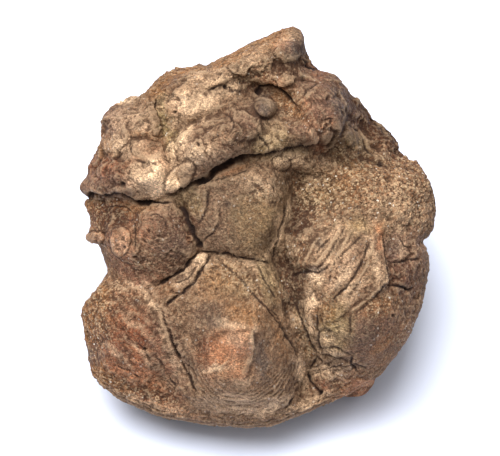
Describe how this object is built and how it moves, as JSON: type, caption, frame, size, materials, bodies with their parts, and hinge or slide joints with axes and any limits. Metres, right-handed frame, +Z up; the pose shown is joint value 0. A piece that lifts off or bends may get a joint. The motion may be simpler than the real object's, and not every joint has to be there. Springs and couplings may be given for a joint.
{
  "type": "crinoid fossil",
  "caption": "Loose lump of weathered crinoid fossil in sandy matrix: a cracked, plated face over a broken rough back, lying on a flat underside.",
  "frame": {"origin": "on the ground, under the middle of the lump's bounding box", "axes": "+Z up; the plated face looks up and toward -Y, its peak is at the back, toward +Y"},
  "size_m": [0.088, 0.0906, 0.0646],
  "materials": {
    "stone": "rough natural limestone and sandstone, tan brown with rusty and grey patches, dull"
  },
  "bodies": {
    "root": {"crinoid_fossil": "stone"}
  },
  "joints": []
}
